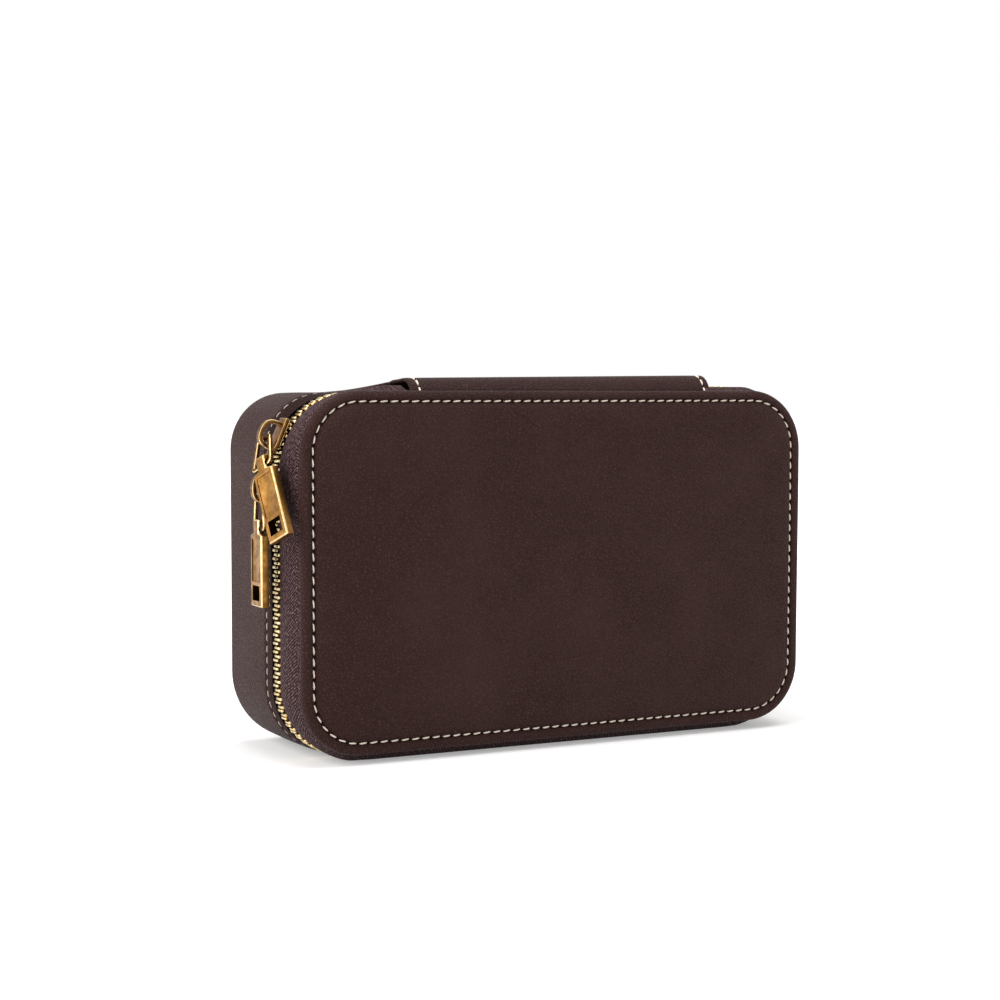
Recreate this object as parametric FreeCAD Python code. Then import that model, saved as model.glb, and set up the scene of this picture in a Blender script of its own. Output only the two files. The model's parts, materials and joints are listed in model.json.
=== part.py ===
"""Zip-around leather jewellery case, standing on its long side, in millimetres.

+X is the case's width, +Y points to its back and +Z is up.
The origin is the middle of the base's standing face.
"""
import FreeCAD, Part
import math
import os
from collections import namedtuple

from FreeCAD import Placement, Rotation, Vector

# Base: a stiff tray covered in leather and lined with velvet
case_width = 178.5
case_height = 109.0
base_depth = 36.6
corner_radius = 17.5
foot_radius = 22.5
back_round = 3.4
leather = 1.0
board = 2.0
lining = 0.8

# Lid: a padded leather panel on a stiff board with a low wall
lid_inset = 2.05
lid_short = 0.8
lid_radius = 18.4
lid_rise = 2.0
lid_reach = 16.5
lid_edge = 3.4
seam_inset = 3.7
welt_height = 0.75
welt_steps = 4
pillow_height = 2.5
pillow_run = 25.0
pillow_steps = 5
padding_inset = 1.5
inner_radius = 4.0
frame_wall = 1.6

# Zip: woven tapes with a row of teeth each
zip_setback = 3.4
zip_radius = 21.7
zip_room = 5.2
tape = 0.6
tooth_pitch = 2.5
tooth_width = 0.8
tooth_height = 1.6
tooth_reach = 2.7
tooth_mesh = 0.8
stop_length = 2.4
tape_tuck = 4.6
tape_inset = 0.5

# Hinge strap along the top
strap_left = -50.0
strap_right = 54.6
strap_thickness = 1.4
strap_seat = 7.0
strap_rear = 12.0
strap_rise = 5.0
strap_crest_lead = 4.5

# Sliders, rings and pulls
slider_length = 12.0
slider_width = 6.2
slider_tail_width = 5.2
slider_nose_width = 2.4
slider_nose = 3.6
plate = 1.2
crown_span = 9.0
crown_height = 6.15
crown_bar = 1.2
crown_width = 2.0
ring_span = 9.6
ring_inner_width = 6.8
ring_top_width = 4.4
ring_bar = 1.3
ring_inner_radius = 0.3
pull_width = 8.8
pull_length = 23.0
pull_thickness = 2.8
neck_width = 4.0
neck_top = 2.6
neck_drop = 1.3
shoulder = 0.7
pull_eye = 2.4
pull_chamfer = 0.4
window_width = 5.6
window_height = 4.4
window_rise = 1.8
panel_inset = 1.2
panel_depth = 0.3
lower_slider_drop = 4.9
upper_slider_angle = 24.5
ring_out = 5.3
upper_ring_shift = 1.2
upper_pull_shift = -0.9
lower_ring_shift = 0.8
upper_twist_angle = 20.0
upper_sway_angle = -25.0
upper_ring_angle = 24.0
upper_pull_angle = 4.5
upper_seat_room = 1.2
lower_seat_room = 0.3

# Interior fittings
ring_zone = 100.0
divider = 2.4
divider_height = 28.0
roll_count = 6
roll_depth = 20.0
roll_shoulder = 13.0
roll_gap = 0.8
roll_draw = 1.2
roll_end = 3.0
pocket_width = 128.0
pocket_gap = 8.2
pocket_bottom = 12.0
pocket_side = 2.3
pocket_puff = 2.5
pocket_draw = 5.0
elastic_height = 4.0
elastic_thickness = 3.0
tab_count = 3
tab_spacing = 48.0
tab_width = 12.0
tab_length = 24.0
tab_thickness = 1.6
tab_drop = 8.0
snap_radius = 4.0
snap_thickness = 1.4

# Clearances
running = 0.35
soft = 0.3
glue = 0.1

Outline = namedtuple("Outline", "width height radius foot_radius centre_z")

rim_y = -base_depth / 2
back_y = base_depth / 2
zip_y = rim_y - zip_setback
seam_y = zip_y - lid_reach
lid_back_y = seam_y + lid_edge
base = Outline(case_width, case_height, corner_radius, foot_radius, case_height / 2)
lid_width = case_width - 2 * lid_inset
lid_height = case_height - 2 * lid_short
lid = Outline(lid_width, lid_height, lid_radius, lid_radius, case_height / 2 + lid_rise)


def shrink(outline, amount, least_radius=0.5):
    """The outline moved inwards by an amount."""
    width = outline.width - 2 * amount
    height = outline.height - 2 * amount
    radius = max(outline.radius - amount, least_radius)
    foot = max(outline.foot_radius - amount, least_radius)
    return Outline(width, height, radius, foot, outline.centre_z)


def between(first, second, share):
    """The outline that lies a share of the way from one outline to another."""
    return Outline(*(a + (b - a) * share for a, b in zip(first, second)))


def outline_wire(outline, y):
    """A rounded rectangle in the plane at depth y."""
    x = outline.width / 2
    z = outline.height / 2

    def at(px, pz):
        return Vector(px, y, outline.centre_z + pz)

    edges = []
    for sx, sz, upright in ((1, -1, False), (1, 1, True), (-1, 1, False), (-1, -1, True)):
        r = outline.radius if sz > 0 else outline.foot_radius
        d = r * (1 - math.sqrt(0.5))
        side, flat = at(sx * x, sz * (z - r)), at(sx * (x - r), sz * z)
        middle = at(sx * (x - d), sz * (z - d))
        start, end = (side, flat) if upright else (flat, side)
        if edges:
            edges.append(Part.makeLine(edges[-1].lastVertex(True).Point, start))
        edges.append(Part.Arc(start, middle, end).toShape())
    edges.append(Part.makeLine(edges[-1].lastVertex(True).Point, edges[0].firstVertex(True).Point))
    return Part.Wire(edges)


def block(outline, y_front, y_back):
    """A rounded rectangle given depth along Y."""
    face = Part.Face(outline_wire(outline, y_front))
    return face.extrude(Vector(0, y_back - y_front, 0))


def stack(sections):
    """A solid through outlines that are given with their depths."""
    return Part.makeLoft([outline_wire(outline, y) for outline, y in sections], True, True)


def rounded_tray(outline, y_front, y_back, edge_radius):
    """A block whose back edge is rounded."""
    solid = block(outline, y_front, y_back)
    edges = [e for e in solid.Edges if all(abs(v.Y - y_back) < 1e-6 for v in e.Vertexes)]
    return solid.makeFillet(edge_radius, edges)


def box(x0, x1, y0, y1, z0, z1):
    """A box between two corners."""
    return Part.makeBox(x1 - x0, y1 - y0, z1 - z0, Vector(x0, y0, z0))


# Base
board_outline = shrink(base, leather)
lining_outline = shrink(board_outline, board)
inside = shrink(lining_outline, lining)
board_front_y = rim_y + tape_tuck
lining_front_y = zip_y + zip_room
board_back_y = back_y - leather
lining_back_y = board_back_y - board
floor_y = lining_back_y - lining


def base_band():
    skin = rounded_tray(base, rim_y, back_y, back_round)
    skin = skin.cut(rounded_tray(board_outline, rim_y, board_back_y, back_round - leather))
    return skin.cut(block(shrink(base, back_round), board_back_y, back_y))


def base_back_panel():
    return block(shrink(base, back_round), board_back_y, back_y)


def base_board():
    tray = rounded_tray(board_outline, board_front_y, board_back_y, back_round - leather)
    return tray.cut(rounded_tray(lining_outline, board_front_y, lining_back_y, back_round - leather - board))


def base_lining():
    tray = rounded_tray(lining_outline, lining_front_y, lining_back_y, back_round - leather - board)
    return tray.cut(block(inside, lining_front_y, floor_y))


# Interior fittings of the base
inside_bottom = inside.centre_z - inside.height / 2
inside_top = inside.centre_z + inside.height / 2
inside_side = inside.width / 2


def side_divider(side):
    near = side * ring_zone / 2
    far = side * (ring_zone / 2 + divider)
    return box(min(near, far), max(near, far), floor_y - divider_height, floor_y, inside_bottom, inside_top)


def cross_divider(side):
    near = side * (ring_zone / 2 + divider)
    far = side * inside_side
    middle = inside.centre_z
    low, high = middle - divider / 2, middle + divider / 2
    return box(min(near, far), max(near, far), floor_y - divider_height, floor_y, low, high)


def roll_wire(x, centre_z, half, draw):
    """One cross-section of a ring roll: flat sides and a round crown, drawn in by an amount."""
    shoulder_y = floor_y - roll_shoulder
    half = half - draw
    crown = Vector(x, floor_y - roll_depth + draw, centre_z)
    points = [Vector(x, shoulder_y, centre_z - half), Vector(x, floor_y, centre_z - half),
              Vector(x, floor_y, centre_z + half), Vector(x, shoulder_y, centre_z + half)]
    edges = [Part.makeLine(a, b) for a, b in zip(points, points[1:])]
    edges.append(Part.Arc(points[3], crown, points[0]).toShape())
    return Part.Wire(edges)


def ring_roll(index):
    pitch = inside.height / roll_count
    centre_z = inside_bottom + pitch * (index + 0.5)
    half = (pitch - roll_gap) / 2
    end = ring_zone / 2 - soft
    stations = [(-end, roll_draw), (roll_end - end, 0.0), (end - roll_end, 0.0), (end, roll_draw)]
    return Part.makeLoft([roll_wire(x, centre_z, half, draw) for x, draw in stations], True, True)


# Lid
lid_inner = shrink(lid, leather)
board_face_y = lid_back_y - board
tape_seat = shrink(lid, tape_inset)
chain = shrink(base, leather + tape / 2)._replace(radius=zip_radius, foot_radius=zip_radius)
tape_edge = tooth_reach + glue
tape_end = shrink(chain, -tape / 2)
lid_tape_end_y = zip_y - tape_edge
frame_end_y = zip_y - zip_room
frame_share = (frame_end_y - lid_back_y) / (lid_tape_end_y - lid_back_y)
frame_start = shrink(tape_seat, tape + glue)
frame_end = shrink(between(tape_seat, tape_end, frame_share), tape + glue)


def lid_board():
    return block(lid_inner, board_face_y, lid_back_y)


def pillow(start, height):
    """Sections of a soft pillow that rises steeply from a start inset and flattens towards its middle."""
    sections = []
    for step in range(pillow_steps + 1):
        share = step / pillow_steps
        outline = shrink(lid, start + pillow_run * share ** 2, inner_radius)
        sections.append((outline, seam_y - height * math.sqrt(share)))
    return sections


def lid_padding():
    start = seam_inset + padding_inset
    return stack([(shrink(lid, start, inner_radius), board_face_y)] + pillow(start, pillow_height - leather))


def lid_cover():
    """The leather face: a rounded welt round its edge, a stitched groove and the pillow."""
    welt = [(lid, lid_back_y)]
    for step in range(welt_steps):
        turn = math.pi * step / welt_steps
        inset = seam_inset * (1 - math.cos(turn)) / 2
        welt.append((shrink(lid, inset, inner_radius), seam_y - welt_height * math.sin(turn)))
    skin = stack(welt + pillow(seam_inset, pillow_height))
    return skin.cut(lid_board()).cut(lid_padding())


def lid_frame():
    wall = stack([(frame_start, lid_back_y), (frame_end, frame_end_y)])
    inner = [(shrink(frame_start, frame_wall), lid_back_y), (shrink(frame_end, frame_wall), frame_end_y)]
    return wall.cut(stack(inner))


def lid_lining():
    start = shrink(frame_start, frame_wall + glue)
    end = shrink(frame_end, frame_wall + glue)
    plate_y = lid_back_y + lining
    hollow_start = shrink(between(start, end, lining / (frame_end_y - lid_back_y)), lining)
    tray = stack([(start, lid_back_y), (end, frame_end_y)])
    return tray.cut(stack([(hollow_start, plate_y), (shrink(end, lining), frame_end_y)]))


# Fittings in the lid
lid_floor_y = lid_back_y + lining
tab_top = lid.centre_z + lid.height / 2 - tab_drop
tab_end = tab_top - tab_length
pocket_top = tab_end - pocket_gap - elastic_height
pocket_height = pocket_top - pocket_bottom


def lid_pocket():
    middle = pocket_bottom + pocket_height / 2
    pouch = Outline(pocket_width, pocket_height, pocket_draw, pocket_draw, middle)
    side_y = lid_floor_y + pocket_side
    return stack([(pouch, lid_floor_y), (pouch, side_y), (shrink(pouch, pocket_draw), side_y + pocket_puff)])


def pocket_elastic():
    half = pocket_width / 2 - pocket_draw
    face_y = lid_floor_y + elastic_thickness
    return box(-half, half, lid_floor_y, face_y, pocket_top, pocket_top + elastic_height)


def tab_places():
    return [(index - (tab_count - 1) / 2) * tab_spacing for index in range(tab_count)]


def necklace_tabs():
    face_y = lid_floor_y + tab_thickness
    half = tab_width / 2
    tabs = [box(x - half, x + half, lid_floor_y, face_y, tab_end, tab_top) for x in tab_places()]
    return Part.makeCompound(tabs)


def tab_snaps():
    centre_z = tab_end + snap_radius + leather
    face_y = lid_floor_y + tab_thickness
    caps = []
    for x in tab_places():
        seat = Vector(x, face_y, centre_z)
        caps.append(Part.makeCylinder(snap_radius, snap_thickness, seat, Vector(0, 1, 0)))
    return Part.makeCompound(caps)


# Zip
corner_x = chain.width / 2 - chain.radius
corner_low = chain.centre_z - chain.height / 2 + chain.radius
corner_high = chain.centre_z + chain.height / 2 - chain.radius
quarter = chain.radius * math.pi / 2
zip_ends = stop_length


def chain_runs():
    """The zip's path from the strap's left end, as lengths with a place and outward angle along each."""
    top = chain.centre_z + chain.height / 2
    low = chain.centre_z - chain.height / 2
    side = chain.width / 2
    left_end = strap_left + zip_ends
    right_end = strap_right - zip_ends

    def arc(cx, cz, start):
        return lambda s: (cx, cz, chain.radius, start + math.degrees(s / chain.radius))

    return [(left_end + corner_x, lambda s: (left_end - s, top, 0, 90)),
            (quarter, arc(-corner_x, corner_high, 90)),
            (corner_high - corner_low, lambda s: (-side, corner_high - s, 0, 180)),
            (quarter, arc(-corner_x, corner_low, 180)),
            (2 * corner_x, lambda s: (s - corner_x, low, 0, 270)),
            (quarter, arc(corner_x, corner_low, 270)),
            (corner_high - corner_low, lambda s: (side, corner_low + s, 0, 0)),
            (quarter, arc(corner_x, corner_high, 0)),
            (corner_x - right_end, lambda s: (corner_x - s, top, 0, 90))]


def chain_length():
    return sum(length for length, place in chain_runs())


def chain_place(s):
    """Where the zip is at a length along it: +X of the placement points out of the case."""
    runs = chain_runs()
    while len(runs) > 1 and s > runs[0][0]:
        s -= runs.pop(0)[0]
    x, z, radius, angle = runs[0][1](s)
    turn = math.radians(angle)
    point = Vector(x + radius * math.cos(turn), zip_y, z + radius * math.sin(turn))
    return Placement(point, Rotation(Vector(0, 1, 0), -angle))


def teeth(side, shift):
    """One row of teeth; side is 1 on the base's tape and -1 on the lid's."""
    low, high = sorted((-side * tooth_mesh, side * tooth_reach))
    half = tooth_height / 2
    count = int((chain_length() - stop_length) / tooth_pitch) - 1
    start = (chain_length() - (count - 0.5) * tooth_pitch) / 2
    row = []
    for index in range(count):
        tooth = box(-half, half, low, high, -tooth_width / 2, tooth_width / 2)
        tooth.Placement = chain_place(start + (index + shift) * tooth_pitch)
        row.append(tooth)
    return Part.makeCompound(row)


def stops(side):
    """The stops at both ends of one tape, under the strap's ends."""
    low, high = sorted((side * glue, side * tooth_reach))
    half = tooth_height / 2
    pair = []
    for end in (0.0, chain_length()):
        stop = box(-half, half, low, high, -stop_length / 2, stop_length / 2)
        stop.Placement = chain_place(end)
        pair.append(stop)
    return Part.makeCompound(pair)


def base_zip_tape():
    outer = [(tape_end, zip_y + tape_edge), (board_outline, board_front_y)]
    inner = [(shrink(outline, tape), y) for outline, y in outer]
    return stack(outer).cut(stack(inner))


def lid_zip_tape():
    outer = [(tape_seat, lid_back_y), (tape_end, lid_tape_end_y)]
    inner = [(shrink(outline, tape), y) for outline, y in outer]
    return stack(outer).cut(stack(inner))


# Hinge strap
def hinge_strap():
    seat_z = case_height
    crest_z = case_height + strap_rise
    rear_y = rim_y + strap_rear
    bend_y = rear_y - strap_seat
    crest_y = zip_y - strap_crest_lead
    front_y = lid_back_y + glue
    front_z = tape_seat.centre_z + tape_seat.height / 2 + glue

    def at(y, z):
        return Vector(strap_left, y, z)

    t = strap_thickness
    outer = Part.Arc(at(bend_y, seat_z + t), at(crest_y, crest_z), at(front_y, front_z + t)).toShape()
    inner = Part.Arc(at(front_y, front_z), at(crest_y, crest_z - t), at(bend_y, seat_z)).toShape()
    lines = [(at(rear_y, seat_z), at(rear_y, seat_z + t)), (at(rear_y, seat_z + t), at(bend_y, seat_z + t)),
             (at(front_y, front_z + t), at(front_y, front_z)), (at(bend_y, seat_z), at(rear_y, seat_z))]
    first, second, third, last = [Part.makeLine(a, b) for a, b in lines]
    section = Part.Face(Part.Wire([first, second, outer, third, inner, last]))
    return section.extrude(Vector(strap_right - strap_left, 0, 0))


# Sliders: local +X points out of the case, +Y across the zip and +Z along it, away from the nose
rim_proud = leather + tape / 2
plate_in = rim_proud + running
plate_out = plate_in + plate
bow = chain.radius - math.sqrt(chain.radius ** 2 - (slider_length / 2) ** 2)
back_in = tooth_height / 2 + bow + 2 * running


def slider_plate(x0, x1):
    tail = slider_length / 2
    widest = slider_nose - tail
    half = ((slider_tail_width / 2, tail), (slider_width / 2, widest), (slider_nose_width / 2, -tail))
    points = [Vector(x0, y, z) for y, z in half] + [Vector(x0, -y, z) for y, z in reversed(half)]
    face = Part.Face(Part.makePolygon(points + points[:1]))
    return face.extrude(Vector(x1 - x0, 0, 0))


def crown_face(span, height):
    feet = [Vector(plate_out, -crown_width / 2, s * span / 2) for s in (-1, 1)]
    top = Vector(plate_out + height, -crown_width / 2, 0)
    return Part.Face(Part.Wire([Part.makeLine(*feet), Part.Arc(feet[1], top, feet[0]).toShape()]))


def slider_top():
    across = Vector(0, crown_width, 0)
    arch = crown_face(crown_span, crown_height).extrude(across)
    hollow = crown_face(crown_span - 2 * crown_bar, crown_height - crown_bar).extrude(across)
    return slider_plate(plate_in, plate_out).fuse(arch.cut(hollow)).removeSplitter()


def slider_back():
    return slider_plate(-back_in - plate, -back_in)


corner_point = Vector(-corner_x, zip_y, corner_high)
upper_frame = Placement(corner_point, Rotation(Vector(0, 1, 0), upper_slider_angle - 180))
upper_place = upper_frame.multiply(Placement(Vector(chain.radius, 0, 0), Rotation(Vector(1, 0, 0), 180)))
lower_point = Vector(-chain.width / 2, zip_y, corner_high - lower_slider_drop)
lower_place = Placement(lower_point, Rotation(Vector(0, 1, 0), 180))


def placed(shape, placement):
    shape = shape.copy()
    shape.Placement = placement.multiply(shape.Placement)
    return shape


# Rings and pulls: local -X points out of the case, and the pivot is the origin
def ring_blank(grow, corner):
    """A four-sided plate, narrower at its top, that lies a distance outside the ring's inner edge."""
    bar = ring_bar / 2
    top, low = ring_top_width / 2 + grow, ring_inner_width / 2 + grow
    high, deep = grow - bar, bar - grow - ring_span
    corners = [(top, high), (low, deep), (-low, deep), (-top, high)]
    points = [Vector(-bar, y, z) for y, z in corners]
    plate_solid = Part.Face(Part.makePolygon(points + points[:1])).extrude(Vector(ring_bar, 0, 0))
    edges = [e for e in plate_solid.Edges if len({round(v.X, 6) for v in e.Vertexes}) == 2]
    return plate_solid.makeFillet(corner, edges)


def ring():
    return ring_blank(ring_bar, ring_bar).cut(ring_blank(0.0, ring_inner_radius))


def pull():
    half, neck = pull_width / 2, neck_width / 2
    left = [(neck, neck_top), (neck, -neck_drop), (half, -neck_drop - shoulder), (half, -pull_length)]
    corners = left + [(-y, z) for y, z in reversed(left)]
    x = pull_thickness / 2
    points = [Vector(-x, y, z) for y, z in corners]
    slab = Part.Face(Part.makePolygon(points + points[:1])).extrude(Vector(pull_thickness, 0, 0))
    rims = [e for e in slab.Edges if len({round(v.X, 6) for v in e.Vertexes}) == 1]
    slab = slab.makeChamfer(pull_chamfer, rims)
    eye = Part.makeCylinder(pull_eye / 2, neck_width, Vector(0, -neck, 0), Vector(0, 1, 0))
    window_low = window_rise - pull_length
    window_high = window_low + window_height
    window = box(-x, x, -window_width / 2, window_width / 2, window_low, window_high)
    panel_half = half - panel_inset
    panel_low, panel_high = window_high + panel_inset, -neck_drop - shoulder - panel_inset
    panel = box(-x, panel_depth - x, -panel_half, panel_half, panel_low, panel_high)
    return slab.cut(eye).cut(window).cut(panel)


def crown_seat(room):
    """How far along the zip from the slider's middle a ring's bar rests inside the crown."""
    span, height = crown_span - 2 * crown_bar, crown_height - crown_bar
    radius = ((span / 2) ** 2 + height ** 2) / (2 * height)
    across = ring_out - (plate_out + height - radius)
    return math.sqrt(radius ** 2 - across ** 2) - ring_bar * math.sqrt(0.5) - room


def hang(pivot, lean, sway, twist):
    """A pose about a pivot: lean swings outwards, sway to the lid's side, twist turns the face to the lid."""
    aside = Rotation(Vector(0, 0, 1), twist) * Rotation(Vector(1, 0, 0), sway)
    return Placement(pivot, aside * Rotation(Vector(0, 1, 0), lean))


upper_seat = upper_place.multVec(Vector(ring_out, 0, -crown_seat(upper_seat_room)))
upper_bar = hang(upper_seat, 0, upper_sway_angle, upper_twist_angle)
upper_pivot = upper_bar.multVec(Vector(0, upper_ring_shift, 0))
upper_ring_pose = hang(upper_pivot, upper_ring_angle, upper_sway_angle, upper_twist_angle)
upper_pull_pivot = upper_ring_pose.multVec(Vector(0, upper_pull_shift, -ring_span))
upper_pull_pose = hang(upper_pull_pivot, upper_pull_angle, upper_sway_angle, upper_twist_angle)
lower_pivot = lower_place.multVec(Vector(ring_out, lower_ring_shift, crown_seat(lower_seat_room)))
lower_ring_pose = hang(lower_pivot, 0, 0, 0)
lower_pull_pose = hang(lower_ring_pose.multVec(Vector(0, 0, -ring_span)), 0, 0, 0)

nodes = {
    "base_band": base_band(),
    "base_back_panel": base_back_panel(),
    "base_board": base_board(),
    "base_lining": base_lining(),
    "left_divider": side_divider(-1),
    "right_divider": side_divider(1),
    "left_cross_divider": cross_divider(-1),
    "right_cross_divider": cross_divider(1),
    "lid_board": lid_board(),
    "lid_padding": lid_padding(),
    "lid_cover": lid_cover(),
    "lid_frame": lid_frame(),
    "lid_lining": lid_lining(),
    "lid_pocket": lid_pocket(),
    "pocket_elastic": pocket_elastic(),
    "necklace_tabs": necklace_tabs(),
    "tab_snaps": tab_snaps(),
    "base_zip_tape": base_zip_tape(),
    "base_zip_teeth": teeth(1, 0.0),
    "base_zip_stops": stops(1),
    "lid_zip_tape": lid_zip_tape(),
    "lid_zip_teeth": teeth(-1, 0.5),
    "lid_zip_stops": stops(-1),
    "hinge_strap": hinge_strap(),
    "upper_slider": placed(slider_top(), upper_place),
    "upper_slider_back_plate": placed(slider_back(), upper_place),
    "upper_ring": placed(ring(), upper_ring_pose),
    "upper_pull": placed(pull(), upper_pull_pose),
    "lower_slider": placed(slider_top(), lower_place),
    "lower_slider_back_plate": placed(slider_back(), lower_place),
    "lower_ring": placed(ring(), lower_ring_pose),
    "lower_pull": placed(pull(), lower_pull_pose),
}
for roll_index in range(roll_count):
    nodes[f"ring_roll_{roll_index + 1}"] = ring_roll(roll_index)

os.makedirs("parts", exist_ok=True)
for node, shape in nodes.items():
    shape.exportStep(f"parts/{node}.step")
    print(node, len(shape.Solids), round(shape.Volume, 1), shape.isValid())
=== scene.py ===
import json
import math
from collections import namedtuple

import bmesh
import bpy
from mathutils import Matrix, Vector, noise


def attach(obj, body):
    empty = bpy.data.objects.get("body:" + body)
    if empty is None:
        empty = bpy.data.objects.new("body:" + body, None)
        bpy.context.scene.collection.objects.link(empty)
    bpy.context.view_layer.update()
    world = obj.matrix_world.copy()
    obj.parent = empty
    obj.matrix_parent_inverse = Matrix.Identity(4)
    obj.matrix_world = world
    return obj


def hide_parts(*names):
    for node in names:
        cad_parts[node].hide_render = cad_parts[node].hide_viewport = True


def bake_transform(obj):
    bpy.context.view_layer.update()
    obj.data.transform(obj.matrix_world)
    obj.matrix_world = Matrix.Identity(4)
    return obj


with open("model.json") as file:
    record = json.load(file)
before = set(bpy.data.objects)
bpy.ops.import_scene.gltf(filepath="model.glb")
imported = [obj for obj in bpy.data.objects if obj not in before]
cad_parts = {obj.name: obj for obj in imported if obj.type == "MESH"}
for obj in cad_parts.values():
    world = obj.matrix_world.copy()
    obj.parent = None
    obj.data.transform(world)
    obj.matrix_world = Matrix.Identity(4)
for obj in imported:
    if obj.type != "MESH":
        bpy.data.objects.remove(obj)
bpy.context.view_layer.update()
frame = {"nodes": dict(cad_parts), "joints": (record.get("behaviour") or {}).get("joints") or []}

# Stiff boards: the tray, the lid's panel and the lid's low wall are pressed fibreboard.
# They are covered on every side, so only a cut edge could ever show their brown fibre.
MM = 0.001


def colour(code):
    """An sRGB hex colour as linear red, green, blue and alpha."""
    channels = [int(code[i:i + 2], 16) / 255 for i in (1, 3, 5)]
    return [c / 12.92 if c <= 0.04045 else ((c + 0.055) / 1.055) ** 2.4 for c in channels] + [1.0]


def add(tree, kind, inputs=None, **settings):
    """Adds a node with its settings; each input gets a value, or a link from another node's output."""
    node = tree.nodes.new(kind)
    for name, value in settings.items():
        setattr(node, name, value)
    for socket, value in (inputs or {}).items():
        if isinstance(value, bpy.types.NodeSocket):
            tree.links.new(value, node.inputs[socket])
        else:
            node.inputs[socket].default_value = value
    return node


def new_finish(name, values):
    """A material with a Principled shader that holds these values, its node tree and its shader."""
    material = bpy.data.materials.new(name)
    material.use_nodes = True
    shader = material.node_tree.nodes["Principled BSDF"]
    for socket, value in values.items():
        shader.inputs[socket].default_value = value
    return material, material.node_tree, shader


def grain(tree, place, size, detail, roughness=0.5):
    """A noise whose patches have a size in millimetres."""
    values = {"Vector": place, "Scale": 1 / (size * MM), "Detail": detail, "Roughness": roughness}
    return add(tree, "ShaderNodeTexNoise", values).outputs[0]


def two_tone(tree, share, first, second):
    """A colour that runs from the first to the second with a share."""
    return add(tree, "ShaderNodeMix", {0: share, 6: first, 7: second}, data_type="RGBA").outputs[2]


def dress(tree, shader, tone, height, depth):
    """Gives a shader its colour, and a relief with a depth in millimetres."""
    relief = add(tree, "ShaderNodeBump", {"Height": height, "Distance": depth * MM})
    tree.links.new(tone, shader.inputs["Base Color"])
    tree.links.new(relief.outputs[0], shader.inputs["Normal"])


# Pressed fibreboard: dull brown felted fibres under a millimetre long.
fibreboard, tree, shader = new_finish("pressed_fibreboard", {"Roughness": 0.9, "Specular IOR Level": 0.3})
fibres = grain(tree, add(tree, "ShaderNodeTexCoord").outputs["Object"], 0.8, 5.0)
dress(tree, shader, two_tone(tree, fibres, colour("#7d6650"), colour("#b39a78")), fibres, 0.1)
for name in ("base_board", "lid_board", "lid_frame"):
    frame["nodes"][name].data.materials.clear()
    frame["nodes"][name].data.materials.append(fibreboard)

# Base leather band: a strip of grained leather round the tray, turned in at the back and rolled over the rim.
# A stitched groove runs behind the rim.
# The lip is coloured darker as painted shade, and it climbs at the top to run under the strap's left end.
Outline = namedtuple("Outline", "width height top_radius foot_radius middle_z")
base = Outline(178.5, 109.0, 17.5, 22.5, 54.5)
rim_y, stitch_y, wall_y, turn_y, turn_radius = -18.3, -14.4, -12.9, 14.9, 3.4
strap_left, strap_right = -50.0, 54.6


def rounded_loop(outline, inset, y, least=0.15):
    """Points round a rounded rectangle moved inwards, clockwise from the middle of the top."""
    width, height, top_radius, foot_radius, middle_z = outline
    x, z = width / 2 - inset, max(height / 2 - inset, 0.0)
    r = min(max(top_radius - inset, least), x, z)
    f = min(max(foot_radius - inset, least), x, z)
    side_steps, corner_steps = 36, 18
    points = []

    def straight(x0, z0, x1, z1, steps=side_steps):
        points.extend((x0 + (x1 - x0) * i / steps, z0 + (z1 - z0) * i / steps) for i in range(steps))

    def corner(cx, cz, radius, start):
        turns = [math.radians(start - 90 * i / corner_steps) for i in range(corner_steps)]
        points.extend((cx + radius * math.cos(t), cz + radius * math.sin(t)) for t in turns)

    straight(0, z, x - r, z)
    corner(x - r, z - r, r, 90)
    straight(x, z - r, x, f - z)
    corner(x - f, f - z, f, 0)
    straight(x - f, -z, f - x, -z, 2 * side_steps)
    corner(f - x, f - z, f, -90)
    straight(-x, f - z, -x, z - r)
    corner(r - x, z - r, r, -180)
    straight(r - x, z, 0, z)
    return [(px, y, middle_z + pz) for px, pz in points]


def closed_up(mesh, sharp=None):
    """Merges doubled points, turns the faces outwards and shades them smooth up to a sharp angle."""
    work = bmesh.new()
    work.from_mesh(mesh)
    bmesh.ops.remove_doubles(work, verts=work.verts, dist=1e-6)
    bmesh.ops.dissolve_degenerate(work, edges=work.edges, dist=1e-7)
    bmesh.ops.recalc_face_normals(work, faces=work.faces)
    work.to_mesh(mesh)
    work.free()
    mesh.shade_smooth()
    if sharp:
        mesh.set_sharp_from_angle(angle=math.radians(sharp))
    return mesh


def skin(name, rows, closed=False, second=()):
    """A smooth mesh through rows of points round the case, with a UV map in metres along and across the rows.

    The rows in second get the piece's second finish."""
    count = len(rows[0])
    spans = len(rows) if closed else len(rows) - 1
    faces, along, across = [], [0.0], [0.0]
    for j in range(count):
        along.append(along[-1] + math.dist(rows[0][j], rows[0][(j + 1) % count]) * MM)
    for i in range(spans):
        k = (i + 1) % len(rows)
        across.append(across[-1] + math.dist(rows[i][0], rows[k][0]) * MM)
        faces += [(i * count + j, i * count + (j + 1) % count, k * count + (j + 1) % count, k * count + j)
                  for j in range(count)]
    mesh = bpy.data.meshes.new(name)
    mesh.from_pydata([Vector(p) * MM for row in rows for p in row], [], faces)
    uv = mesh.uv_layers.new(name="weave")
    for face in mesh.polygons:
        i, j = divmod(face.index, count)
        face.material_index = 1 if i in second else 0
        for loop, u, v in zip(face.loop_indices, (j, j + 1, j + 1, j), (i, i, i + 1, i + 1)):
            uv.data[loop].uv = (along[u], across[v])
    return closed_up(mesh)


def placed(name, data):
    """A new object in the scene."""
    obj = bpy.data.objects.new(name, data)
    bpy.context.scene.collection.objects.link(obj)
    return obj


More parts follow.
